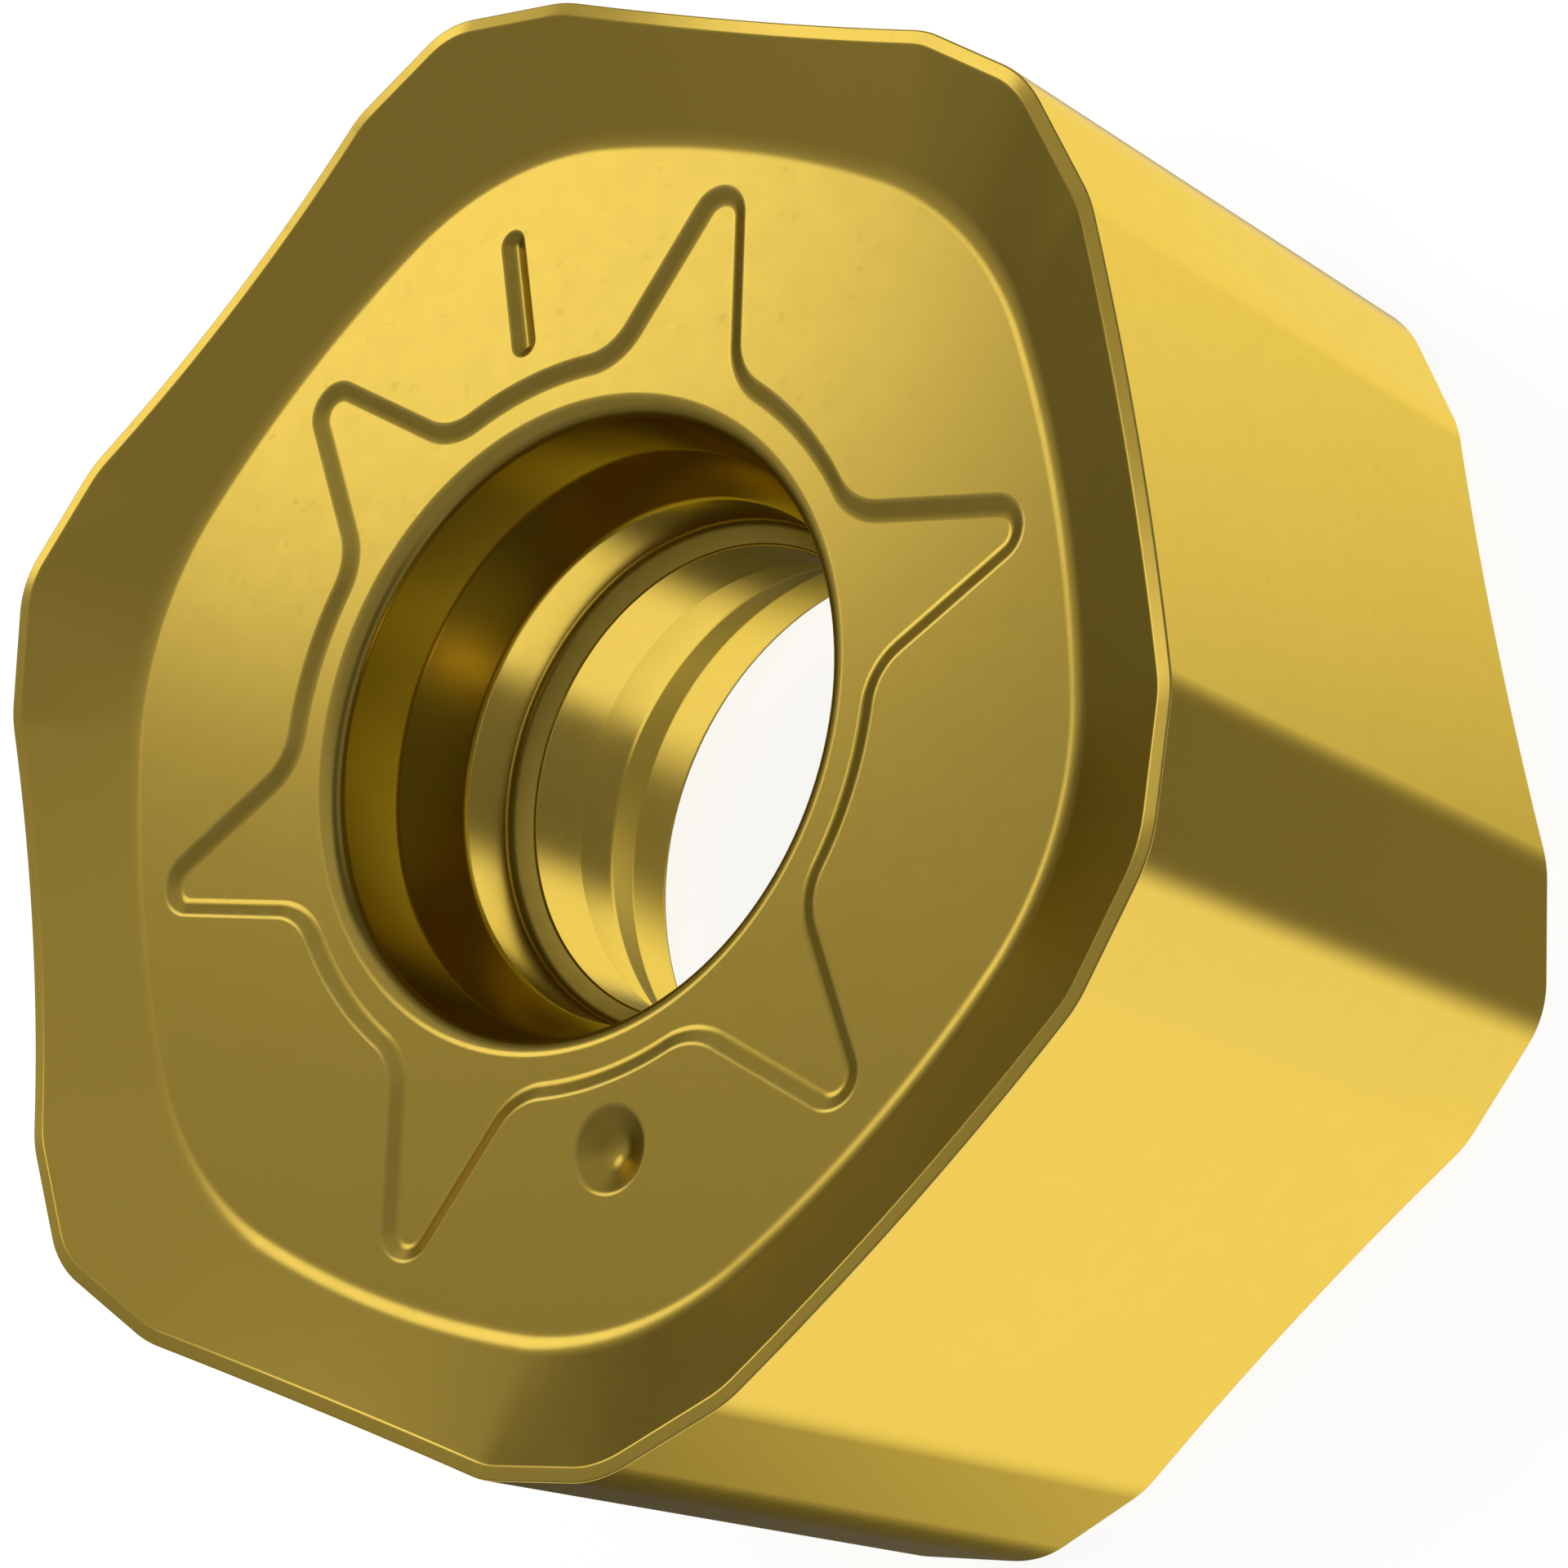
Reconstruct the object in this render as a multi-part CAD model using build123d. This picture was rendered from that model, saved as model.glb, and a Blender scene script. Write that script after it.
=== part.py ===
"""Double-sided hexagonal milling insert, pressed and sintered in one piece.

Frame: the insert lies on its six lower corner tips, origin under its middle on
that surface, +Z along the bore axis. A long cutting edge faces +X, a corner
faces +Y. Units are millimetres and degrees.
"""
from build123d import *
from math import atan2, cos, degrees, hypot, radians, sin, sqrt, tan
import os

# Outline
inscribed_circle = 15.875   # across two opposite long edges
edge_length = 5.44          # long edge, between its sharp vertices
facet_turn = 15.0           # turn from a long edge to the corner facet beside it
nose_radius = 1.4           # rounding of every vertex of the outline
edge_count = 6              # long edges, and corners, on each face

# Heights, the last three above the seat of their own face
seat_thickness = 6.35       # from one flat seat to the other
tip_rise = 0.775             # top of a corner
shoulder_rise = 0.65        # vertex where a long edge meets a corner facet
edge_middle_rise = 0.50     # lowest point of a long cutting edge

# Cutting geometry
land_width = 0.16           # flat land behind the cutting edge
rake_run = 1.27             # from a long edge's flank to the foot of its rake face
foot_edge_radius = 15.0     # the foot's curve, along a long edge
foot_corner_radius = 4.0    # the foot's curve, round a corner
foot_blend = 0.13           # reach of the foot's hollow blend over the seat
blend_share = 0.11          # part of the rake face that the blend takes

# Bore, the same from both seats: radii, and depths below the seat
throat_radius = 2.8
throat_depth = 2.72
well_radius = 3.07           # straight wall above the throat
well_depth = 1.84           # where that wall begins
head_radius = 3.41          # foot of the mouth's wall, top of the screw's cone
head_depth = 1.03
mouth_radius = 3.57         # mouth, before its edge is rounded
mouth_rounding = 0.25
well_bevel = 0.06           # hollow corner at the foot of the well
throat_bevel = 0.05         # edge of the throat

# Pressed star groove in each seat
star_ring_radius = 4.14     # middle line of its arcs
star_reach = 6.07           # middle line at its points
star_half_angle = 19.4      # between a point's axis and its side
star_tip_radius = 0.27
star_root_radius = 0.8
groove_width = 0.25
groove_floor = 0.11         # width of the groove's flat floor
groove_depth = 0.10

# Marks pressed in the upper seat
dimple_distance = 5.01      # from the bore axis
dimple_radius = 0.41        # at the seat, before its edge is rounded
dimple_depth = 0.22
dimple_rounding = 0.10
bar_distance = 5.36
bar_length = 1.64
bar_width = 0.34
bar_depth = 0.13

# Worked out from the sizes above
sector = 360 / edge_count
half_sector = sector / 2
corner_turn = sector - 2 * facet_turn
overall_height = seat_thickness + 2 * tip_rise
mid_height = overall_height / 2
seat_height = mid_height + seat_thickness / 2


def polar(radius, angle):
    """A plan point at a radius and an angle in degrees."""
    return Vector(radius * cos(radians(angle)), radius * sin(radians(angle)))


def mirrored(point):
    """A plan point mirrored in the middle line of the first corner."""
    angle = degrees(atan2(point.Y, point.X))
    return polar(hypot(point.X, point.Y), sector - angle) + Vector(0, 0, point.Z)


def on_both_sides(edge_row, corner_side, corner_row):
    """Rows of a whole sector: long edge, corner elements, and those mirrored."""
    other_side = [[mirrored(p) for p in reversed(row)] for row in reversed(corner_side)]
    return [edge_row, *corner_side, corner_row, *other_side]


def cutting_edge(inset):
    """Control rows of the cutting edge, moved inward by inset at equal heights.

    Each row is a quadratic curve. A vertex is rounded by taking it as the
    middle control point between two points on the lines that meet in it.
    """
    half_edge = edge_length / 2
    facet_distance = inscribed_circle / 2 * cos(radians(facet_turn)) + half_edge * sin(radians(facet_turn))
    facet_length = facet_distance * (tan(radians(corner_turn / 2))) \
        + inscribed_circle / 2 * sin(radians(facet_turn)) - half_edge * cos(radians(facet_turn))

    def plan(moved):
        """Shoulder and corner vertices and the two tangent lengths, moved inward."""
        apothem = inscribed_circle / 2 - moved
        distance = facet_distance - moved
        shoulder_y = (distance - apothem * cos(radians(facet_turn))) / sin(radians(facet_turn))
        radius = nose_radius - moved
        return (
            Vector(apothem, shoulder_y),
            polar(distance / cos(radians(corner_turn / 2)), half_sector),
            radius * tan(radians(facet_turn / 2)),
            radius * tan(radians(corner_turn / 2)),
        )

    shoulder, corner, shoulder_tangent, corner_tangent = plan(0)
    crest_share = corner_tangent / (2 * facet_length)
    corner_rise = (tip_rise - crest_share * shoulder_rise) / (1 - crest_share)
    facet_slope = (corner_rise - shoulder_rise) / facet_length
    straight = shoulder.Y - shoulder_tangent
    end_share = 2 * shoulder_tangent / straight
    end_rise = (shoulder_rise + end_share * edge_middle_rise) / (1 + end_share)
    facet_low = shoulder_rise + shoulder_tangent * facet_slope
    facet_high = corner_rise - corner_tangent * facet_slope

    shoulder, corner, shoulder_tangent, corner_tangent = plan(inset)
    along = polar(1, 90 + facet_turn)
    end = shoulder - Vector(0, shoulder_tangent) + Vector(0, 0, end_rise)
    low = shoulder + along * shoulder_tangent + Vector(0, 0, facet_low)
    high = corner - along * corner_tangent + Vector(0, 0, facet_high)
    middle = Vector(shoulder.X, 0, 2 * edge_middle_rise - end_rise)
    edge_row = [Vector(end.X, -end.Y, end.Z), middle, end]
    shoulder_row = [end, shoulder + Vector(0, 0, shoulder_rise), low]
    facet_row = [low, (low + high) / 2, high]
    corner_row = [high, corner + Vector(0, 0, corner_rise), mirrored(high)]
    lengths = [2 * shoulder_tangent, (high - low).length, 2 * corner_tangent]
    return on_both_sides(edge_row, [shoulder_row, facet_row], corner_row), lengths


def rake_foot(inset):
    """Control rows of the curve where the rake face would meet the seat sharply."""
    offset = foot_edge_radius - (inscribed_circle / 2 - rake_run)
    reach = sqrt((foot_edge_radius - foot_corner_radius) ** 2
                 - (offset * sin(radians(half_sector))) ** 2)
    edge_centre = Vector(-offset, 0)
    corner_centre = polar(reach - offset * cos(radians(half_sector)), half_sector)
    join = degrees(atan2(corner_centre.Y, corner_centre.X + offset))

    def arc(centre, radius, start, stop):
        """Control row of a short arc, from one direction of its normal to another."""
        half = (stop - start) / 2
        peak = radius / cos(radians(half))
        return [centre + polar(radius, start), centre + polar(peak, start + half),
                centre + polar(radius, stop)]

    lengths = cutting_edge(0)[1]
    total = 2 * (lengths[0] + lengths[1]) + lengths[2]
    turns = [(sector - 2 * join) * length / total for length in lengths]
    first = join + turns[0]
    second = first + turns[1]
    radius = foot_corner_radius - inset
    edge_row = arc(edge_centre, foot_edge_radius - inset, -join, join)
    side = [arc(corner_centre, radius, join, first), arc(corner_centre, radius, first, second)]
    corner_row = arc(corner_centre, radius, second, second + turns[2])
    return on_both_sides(edge_row, side, corner_row)


def between(rows, other_rows, share):
    """Control rows part of the way from one curve to another."""
    return [[p + (q - p) * share for p, q in zip(row, other)] for row, other in zip(rows, other_rows)]


def body():
    """The insert as pressed, closed from curved strips and two flat seats."""
    edge = cutting_edge(0)[0]
    land = cutting_edge(land_width)[0]
    foot = rake_foot(0)
    foot_inner = rake_foot(foot_blend)
    rake_start = between(foot, land, blend_share)

    upper = []
    for row in zip(foot_inner, foot, rake_start, land, edge):
        upper.append(Face.make_bezier_surface([row[0], row[1], row[2]]))
        upper.append(Face.make_bezier_surface([row[2], row[3]]))
        upper.append(Face.make_bezier_surface([row[3], row[4]]))
    upper = [face.moved(Pos(0, 0, seat_height)) for face in upper]
    flank = []
    for row in edge:
        top = [point + Vector(0, 0, seat_height) for point in row]
        low = [Vector(point.X, point.Y, overall_height - point.Z) for point in top]
        flank.append(Face.make_bezier_surface([top, low]))

    rim = [Edge.make_bezier(*row).moved(Pos(0, 0, seat_height)) for row in foot_inner]
    turns = [Rot(0, 0, sector * k) for k in range(edge_count)]
    seat = Face(Wire([turn * curve for turn in turns for curve in rim]))
    top = [seat] + [turn * face for turn in turns for face in upper]
    bottom = [face.mirror(Plane.XY.offset(mid_height)) for face in top]
    return Solid(Shell(top + [turn * face for turn in turns for face in flank] + bottom))


def bore():
    """Space of the bore, turned about its axis and the same from both seats."""
    half = [
        (0, 0), (throat_radius, 0), (throat_radius, seat_thickness / 2 - throat_depth),
        (well_radius, seat_thickness / 2 - throat_depth + (well_radius - throat_radius)),
        (well_radius, seat_thickness / 2 - well_depth),
        (head_radius, seat_thickness / 2 - head_depth),
        (mouth_radius, seat_thickness / 2), (0, seat_thickness / 2),
    ]
    profile = make_face(Polyline(half, close=True))
    corners = profile.vertices()
    throat_edge = corners.sort_by_distance((*half[2], 0))[0]
    profile = chamfer(throat_edge, throat_bevel)
    well_corner = profile.vertices().sort_by_distance((*half[3], 0))[0]
    profile = chamfer(well_corner, well_bevel)
    space = revolve(Plane.XZ * profile, Axis.Z)
    return Pos(0, 0, mid_height) * (space + space.mirror(Plane.XY))


def star_groove():
    """Pressed groove round the bore, with a point towards each long edge."""
    apex = star_reach - star_tip_radius + star_tip_radius / sin(radians(star_half_angle))
    half_base = apex * tan(radians(star_half_angle))
    point = make_face(Polyline((apex, 0), (0, half_base), (0, -half_base), close=True))
    star = Circle(star_ring_radius) + [Rot(0, 0, sector * k) * point for k in range(edge_count)]
    tips = star.vertices().group_by(lambda v: round(hypot(v.X, v.Y), 3))[-1]
    star = fillet(tips, star_tip_radius)
    roots = [v for v in star.vertices() if abs(hypot(v.X, v.Y) - star_ring_radius) < 1e-3]
    star = fillet(roots, star_root_radius)
    path = Pos(0, 0, seat_height) * star.faces()[0].outer_wire()
    above = groove_depth / 2
    half_floor = groove_floor / 2
    half_top = groove_width / 2 + (groove_width / 2 - half_floor) * above / groove_depth
    section = make_face(Polyline(
        (-half_top, above), (-half_floor, -groove_depth),
        (half_floor, -groove_depth), (half_top, above), close=True,
    ))
    start = Plane(origin=path @ 0, x_dir=Vector(0, 0, 1).cross(path % 0), z_dir=path % 0)
    return sweep(start * section, path=path)


def dimple():
    """Round pressed dimple between the bore and a corner."""
    radius = (dimple_radius ** 2 + dimple_depth ** 2) / (2 * dimple_depth)
    return Pos(0, -dimple_distance, seat_height + radius - dimple_depth) * Sphere(radius)


def index_bar():
    """Plain pressed bar with round ends, opposite the dimple."""
    radius = ((bar_width / 2) ** 2 + bar_depth ** 2) / (2 * bar_depth)
    half = (bar_length - bar_width) / 2
    rod = Rot(90, 0, 0) * Cylinder(radius, 2 * half)
    ends = [Pos(0, side * half, 0) * Sphere(radius) for side in (-1, 1)]
    return Pos(0, bar_distance, seat_height + radius - bar_depth) * (rod + ends)


def insert():
    """The finished insert."""
    solid = body() - bore()
    mouths = [e for e in solid.edges().filter_by(GeomType.CIRCLE) if abs(e.radius - mouth_radius) < 1e-3]
    solid = fillet(mouths, mouth_rounding)
    solid = solid - dimple()
    rims = [e for e in solid.edges().filter_by(GeomType.CIRCLE) if abs(e.radius - dimple_radius) < 1e-3]
    solid = fillet(rims, dimple_rounding)
    groove = star_groove()
    solid = solid - groove - groove.mirror(Plane.XY.offset(mid_height))
    return solid - index_bar()


os.makedirs("parts", exist_ok=True)
part = insert()
export_step(part, "parts/insert.step")
print("insert", len(part.solids()), "solid", round(part.volume, 2), "mm3", part.bounding_box())
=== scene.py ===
"""Dresses the carbide insert: its finished surface, its stage, its light and its camera."""

from math import atan2, cos, hypot, pi, radians, sin, sqrt, tan

import bpy
import numpy as np
from bpy.props import FloatProperty, FloatVectorProperty, PointerProperty
from mathutils import Matrix, Vector
from mathutils.geometry import delaunay_2d_cdt


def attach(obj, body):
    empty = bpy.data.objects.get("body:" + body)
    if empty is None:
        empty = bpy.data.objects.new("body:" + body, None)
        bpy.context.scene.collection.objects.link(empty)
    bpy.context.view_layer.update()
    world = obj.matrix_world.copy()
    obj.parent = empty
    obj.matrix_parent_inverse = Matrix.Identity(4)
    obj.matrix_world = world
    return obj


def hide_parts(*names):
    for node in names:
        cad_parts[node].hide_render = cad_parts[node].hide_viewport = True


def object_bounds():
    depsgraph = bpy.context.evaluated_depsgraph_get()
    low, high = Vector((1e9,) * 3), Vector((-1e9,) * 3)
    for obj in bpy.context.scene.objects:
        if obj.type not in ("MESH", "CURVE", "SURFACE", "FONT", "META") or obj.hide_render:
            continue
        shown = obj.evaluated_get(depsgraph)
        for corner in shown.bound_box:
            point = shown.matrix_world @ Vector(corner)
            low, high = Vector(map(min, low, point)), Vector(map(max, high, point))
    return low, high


bl_info = {
    "name": "Carbide insert",
    "version": (1, 0, 0),
    "blender": (4, 5, 0),
    "location": "3D View > Sidebar > Insert",
    "description": "Builds the surface, the stage and the light of a hexagonal milling insert",
    "category": "Object",
}

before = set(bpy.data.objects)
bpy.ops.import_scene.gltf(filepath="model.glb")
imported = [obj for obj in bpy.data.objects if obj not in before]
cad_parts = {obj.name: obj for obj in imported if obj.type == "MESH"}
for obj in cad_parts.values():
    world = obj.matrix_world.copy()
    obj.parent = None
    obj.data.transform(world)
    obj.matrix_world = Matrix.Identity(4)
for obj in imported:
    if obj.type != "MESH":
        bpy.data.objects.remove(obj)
cad_low, cad_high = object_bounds()

MM = 0.001
EDGE_COUNT = 6                      # long edges, and corners, on each face
SECTOR = 2 * pi / EDGE_COUNT
WELD = 2e-6                         # points closer than this, in millimetres, are one point
BORE_COLUMNS = 144                  # points round the hole
DIMPLE_COLUMNS = 56                 # points round the dimple


def length(name, description, millimetres):
    """A size shown in the sidebar, given in millimetres."""
    return FloatProperty(name=name, description=description, default=millimetres * MM,
                         min=0.0, precision=5, unit="LENGTH")


def angle(name, description, degrees):
    """An angle shown in the sidebar, given in degrees."""
    return FloatProperty(name=name, description=description, default=radians(degrees), subtype="ANGLE")


def colour(name, description, *default):
    """A colour shown in the sidebar."""
    return FloatVectorProperty(name=name, description=description, default=(*default, 1), subtype="COLOR",
                               size=4, min=0, max=1)


def brightness(name, description, default):
    """A brightness shown in the sidebar."""
    return FloatProperty(name=name, description=description, default=default, min=0)


def share(name, description, default):
    """A share from nothing to one shown in the sidebar."""
    return FloatProperty(name=name, description=description, default=default, min=0, max=1,
                         subtype="FACTOR")


class InsertForm(bpy.types.PropertyGroup):
    """Sizes of the insert, the same as the solid's, and the fine roundings that only show."""

    apothem: length("Apothem", "From the bore axis to a long edge's flank", 7.9375)
    edge_length: length("Edge length", "Long edge, between its sharp vertices", 5.44)
    facet_turn: angle("Facet turn", "From a long edge to the corner facet beside it", 15.0)
    nose_radius: length("Nose radius", "Rounding of every vertex of the outline", 1.4)
    seat_thickness: length("Seat thickness", "From one flat seat to the other", 6.35)
    tip_rise: length("Tip rise", "Top of a corner above its seat", 0.775)
    shoulder_rise: length("Shoulder rise", "Where a long edge meets a corner facet, above the seat", 0.65)
    edge_middle_rise: length("Edge middle rise", "Lowest point of a long cutting edge, above the seat", 0.5)
    land_width: length("Land width", "Flat land behind the cutting edge", 0.16)
    rake_run: length("Rake run", "From a long edge's flank to the foot of its rake face", 1.27)
    foot_edge_radius: length("Foot radius at an edge", "Curve of the rake face's foot along an edge", 15.0)
    foot_corner_radius: length("Foot radius at a corner", "Curve of the rake face's foot round a corner", 4.0)
    foot_blend: length("Foot blend", "Reach of the hollow blend over the seat", 0.13)
    blend_share: share("Blend share", "Part of the rake face that the blend takes", 0.11)
    hone_radius: length("Hone radius", "Rounding of the cutting edge itself", 0.022)
    land_rounding: length("Land rounding", "Reach of the rounding between land and rake face", 0.02)


class BoreForm(bpy.types.PropertyGroup):
    """The screw hole, the same from both seats: radii, and depths below the seat."""

    throat_radius: length("Throat radius", "Narrowest wall", 2.8)
    throat_depth: length("Throat depth", "Where the throat begins", 2.76)
    shoulder_depth: length("Shoulder depth", "Foot of the straight wall", 2.63)
    well_radius: length("Well radius", "Straight wall above the throat", 3.07)
    well_depth: length("Well depth", "Where the straight wall begins", 1.84)
    head_radius: length("Head radius", "Foot of the mouth's wall", 3.41)
    head_depth: length("Head depth", "Where the screw's cone begins", 1.03)
    mouth_radius: length("Mouth radius", "Mouth, before its edge is rounded", 3.57)
    mouth_rounding: length("Mouth rounding", "Rounding of the mouth's edge", 0.25)
    head_rounding: length("Head rounding", "Hollow between the wall and the cone", 0.35)
    cone_rounding: length("Cone rounding", "Edge between the cone and the well", 0.30)
    well_rounding: length("Well rounding", "Hollow corner at the foot of the well", 0.16)
    throat_rounding: length("Throat rounding", "Upper edge of the throat", 0.05)
    lower_rounding: length("Lower throat rounding", "Lower edge of the throat", 0.012)


class SeatForm(bpy.types.PropertyGroup):
    """What is pressed in the seats."""

    ring_radius: length("Ring radius", "Line of the star's arcs", 4.14)
    star_reach: length("Star reach", "Line of the star at its points", 6.07)
    star_half_angle: angle("Star half angle", "Between a point's axis and its side", 19.4)
    star_tip_radius: length("Star tip radius", "Line round a point", 0.27)
    star_root_radius: length("Star root radius", "Line where a point meets the ring", 0.8)
    step_outside: length("Step outside", "From the star's line out to the seat", 0.145)
    step_inside: length("Step inside", "From the star's line in to the recess", 0.115)
    step_lip: length("Step lip", "Rounding of the step's upper edge", 0.17)
    step_foot: length("Step foot", "Rounding of the step's hollow foot", 0.26)
    step_slope: angle("Step slope", "Steepest part of the step", 22.0)
    dimple_distance: length("Dimple distance", "From the bore axis", 4.98)
    dimple_half: length("Dimple radius", "Lip included", 0.515)
    dimple_lip: length("Dimple lip", "Rounding of the dimple's edge", 0.16)
    dimple_bottom: length("Dimple bottom", "Rounding of the dimple's bottom", 0.50)
    dimple_slope: angle("Dimple slope", "Steepest part of the dimple's side", 26.0)
    bar_distance: length("Bar distance", "Middle of the bar, from the bore axis", 5.36)
    bar_length: length("Bar length", "Over its round ends", 1.68)
    bar_half: length("Bar half width", "From the middle line to the flat, lip included", 0.19)
    bar_lip: length("Bar lip", "Rounding of the bar's lips", 0.09)
    bar_bottom: length("Bar bottom", "Rounding of the bar's bottom", 0.12)
    bar_slope: angle("Bar slope", "Steepest part of the bar's side", 28.0)


class Shape:
    """Collects strips of points with their normals, and makes one closed mesh of them."""

    def __init__(self):
        self.points, self.faces, self.face_normals = [], [], []
        self.masks = {"exposed_edge": [], "painted_shade": []}

    def grid(self, points, normals, exposed=None, painted_shade=None):
        """Adds closed rows of points with a normal each, and each row's edge wear and painted shade."""
        points, normals = np.asarray(points, float), np.asarray(normals, float)
        start = len(self.points)
        rows, columns = points.shape[:2]
        self.points.extend(points.reshape(-1, 3))
        for mask, values in (("exposed_edge", exposed), ("painted_shade", painted_shade)):
            for row in range(rows):
                self.masks[mask].extend([values[row] if values else 0.0] * columns)
        flat = normals.reshape(-1, 3)
        for i in range(rows - 1):
            for j in range(columns):
                k = (j + 1) % columns
                corners = [i * columns + j, i * columns + k, (i + 1) * columns + k, (i + 1) * columns + j]
                self.faces.append([start + c for c in corners])
                self.face_normals.append([flat[c] for c in corners])

    def flat(self, loops, height, up):
        """Fills the plane between the first loop and the others, which are holes in it."""
        coords, edges = [], []
        for loop in loops:
            first = len(coords)
            coords += [Vector((p[0], p[1])) for p in loop]
            edges += [(first + i, first + (i + 1) % len(loop)) for i in range(len(loop))]
        made = delaunay_2d_cdt(coords, edges, [], 0, 1e-7)
        given = np.array([tuple(c) for loop in loops for c in np.asarray(loop)[:, :2]])
        plan = given[[origin[0] for origin in made[3]]]
        triangles = np.array([tuple(f) for f in made[2]])
        middle = plan[triangles].mean(axis=1)
        keep = inside(middle, np.array(loops[0])[:, :2])
        for hole in loops[1:]:
            keep &= ~inside(middle, np.array(hole)[:, :2])
        start = len(self.points)
        self.points.extend(np.column_stack([plan, np.full(len(plan), height)]))
        for values in self.masks.values():
            values.extend([0.0] * len(plan))
        for a, b, c in triangles[keep]:
            turn = np.cross(plan[b] - plan[a], plan[c] - plan[a])
            corners = [a, b, c] if (turn > 0) == (up > 0) else [a, c, b]
            self.faces.append([start + k for k in corners])
            self.face_normals.append([np.array([0.0, 0.0, up])] * 3)

    def mesh(self, name):
        """The mesh, in metres, with its points joined and its normals kept."""
        points = np.array(self.points)
        keys = np.round(points / WELD).astype(np.int64)
        _, first, index = np.unique(keys, axis=0, return_index=True, return_inverse=True)
        index = index.reshape(-1)
        faces, normals = [], []
        for face, directions in zip(self.faces, self.face_normals):
            corners = [index[k] for k in face]
            kept = [i for i in range(len(corners)) if corners[i] != corners[i - 1]]
            if len(kept) > 2 and len({corners[i] for i in kept}) == len(kept):
                faces.append([int(corners[i]) for i in kept])
                normals += [directions[i] for i in kept]
        mesh = bpy.data.meshes.new(name)
        mesh.from_pydata((points[first] * MM).tolist(), [], faces)
        mesh.polygons.foreach_set("use_smooth", [True] * len(mesh.polygons))
        mesh.normals_split_custom_set([tuple(n / np.linalg.norm(n)) for n in normals])
        for mask, given in self.masks.items():
            values = np.zeros(len(first))
            np.maximum.at(values, index, given)
            mesh.attributes.new(mask, "FLOAT", "POINT").data.foreach_set("value", values)
        mesh.update()
        return mesh


def inside(points, loop):
    """Which plan points lie inside a closed loop."""
    x, y = points[:, 0], points[:, 1]
    found = np.zeros(len(points), bool)
    for (ax, ay), (bx, by) in zip(loop, np.roll(loop, -1, axis=0)):
        crosses = (ay > y) != (by > y)
        if ay != by:
            found ^= crosses & (x < (bx - ax) * (y - ay) / (by - ay) + ax)
    return found


def rounded(vertices, radii, steps):
    """A profile through vertices, each rounded by its radius, as points and left-hand normals."""
    points, normals = [], []

    def add(point, direction):
        points.append(point)
        normals.append(np.array([-direction[1], direction[0]]))

    vertices = [np.array(v, float) for v in vertices]
    for i, vertex in enumerate(vertices):
        before = vertex - vertices[i - 1] if i else None
        after = vertices[i + 1] - vertex if i + 1 < len(vertices) else None
        if before is None or after is None:
            along = after if before is None else before
            add(vertex, along / np.linalg.norm(along))
            continue
        before, after = before / np.linalg.norm(before), after / np.linalg.norm(after)
        turn = atan2(before[0] * after[1] - before[1] * after[0], before @ after)
        if radii[i] == 0:
            add(vertex, before)
            add(vertex, after)
            continue
        reach = radii[i] * tan(abs(turn) / 2)
        start = vertex - before * reach
        side = np.sign(turn)
        centre = start + side * radii[i] * np.array([-before[1], before[0]])
        for step in range(steps + 1):
            a = turn * step / steps
            along = np.array([before[0] * cos(a) - before[1] * sin(a),
                              before[0] * sin(a) + before[1] * cos(a)])
            add(centre - side * radii[i] * np.array([-along[1], along[0]]), along)
    return np.array(points), np.array(normals)


def pressed(half, lip, slope, bottom, steps=5):
    """Half profile of a pressed mark: distances from its middle line, depths, slopes and painted shade."""
    turns = [slope * i / steps for i in range(steps + 1)]
    straight = half - (lip + bottom) * sin(slope)
    floor = -(lip + bottom) * (1 - cos(slope)) - straight * tan(slope)
    # The last value of each row is painted shade: the mark is drawn darker towards its bottom.
    rows = [(half - lip * sin(a), -lip * (1 - cos(a)), a, (a / slope) ** 2) for a in turns]
    rows += [(bottom * sin(a), floor + bottom * (1 - cos(a)), a, max(a / slope, 1 - bottom / half))
             for a in reversed(turns)]
    return rows


def stepped(outside, inside, lip, slope, foot, steps=5):
    """Profile of a low step, from the seat down: distances from its line, depths, slopes and painted shade.
    """
    turns = [slope * i / steps for i in range(steps + 1)]
    straight = outside + inside - (lip + foot) * sin(slope)
    drop = (lip + foot) * (1 - cos(slope)) + straight * tan(slope)
    # The last value of each row is painted shade, half as strong, darker down the step.
    rows = [(outside - lip * sin(a), -lip * (1 - cos(a)), a, 0.5 * (a / slope) ** 2) for a in turns]
    rows += [(foot * sin(a) - inside, foot * (1 - cos(a)) - drop, a, 0.5 * (a / slope) ** 2)
             for a in reversed(turns)]
    return rows


def bend(start, middle, end, shares):
    """Points on a quadratic curve that leaves start and reaches end heading along the middle."""
    return [(1 - t) ** 2 * start + 2 * t * (1 - t) * middle + t * t * end for t in shares]


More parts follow.
